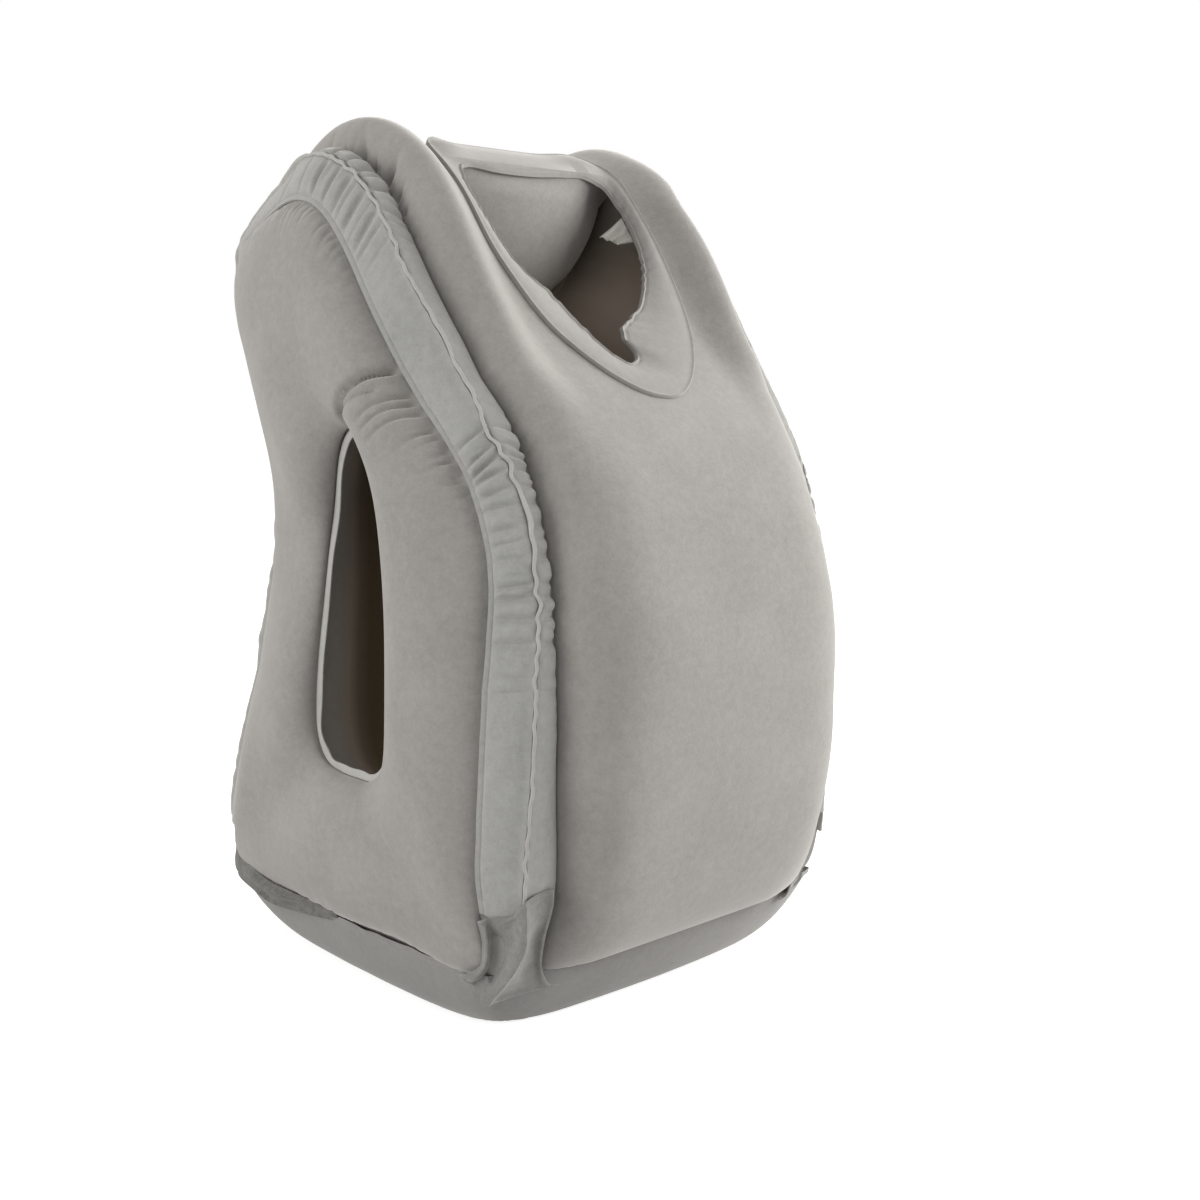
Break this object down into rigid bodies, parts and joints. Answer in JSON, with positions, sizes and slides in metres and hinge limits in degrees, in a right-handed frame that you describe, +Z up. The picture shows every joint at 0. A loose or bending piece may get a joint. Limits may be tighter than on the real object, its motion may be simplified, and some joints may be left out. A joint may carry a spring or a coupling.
{
  "type": "inflatable travel pillow",
  "caption": "Upright inflatable cushion leaned on while seated, with an arm tunnel through its sides, a sloping face opening with a flat collar, ruched side gussets and a domed base.",
  "frame": {"origin": "on the ground, under the middle of the pillow: x = 0 is its plane of symmetry and z = 0 is the flat of the base panel", "axes": "+Z up, -Y towards the belly and the user, +X towards the user's left, along the arm tunnel"},
  "size_m": [0.3442, 0.3629, 0.5445],
  "materials": {
    "flocked_body": "warm grey flocked film, matt and velvety",
    "flocked_gusset": "grey flocked film, matt, with welded edges",
    "flocked_base": "darker grey flocked film, matt",
    "pale_film": "pale smooth film"
  },
  "bodies": {
    "root": {"air_chamber": "flocked_body", "base_panel": "flocked_base", "gusset_rear_strip_left": "flocked_gusset", "gusset_rear_strip_right": "flocked_gusset", "gusset_front_strip_left": "flocked_gusset", "gusset_front_strip_right": "flocked_gusset", "gusset_standing_seam_left": "flocked_gusset", "gusset_standing_seam_right": "flocked_gusset", "arm_opening_lip_left": "flocked_gusset", "arm_opening_lip_right": "flocked_gusset", "face_collar": "flocked_body", "corner_ear_front_left": "flocked_gusset", "corner_ear_front_right": "flocked_gusset", "corner_ear_back_left": "flocked_gusset", "corner_ear_back_right": "flocked_gusset", "inner_tab": "pale_film"}
  },
  "joints": []
}
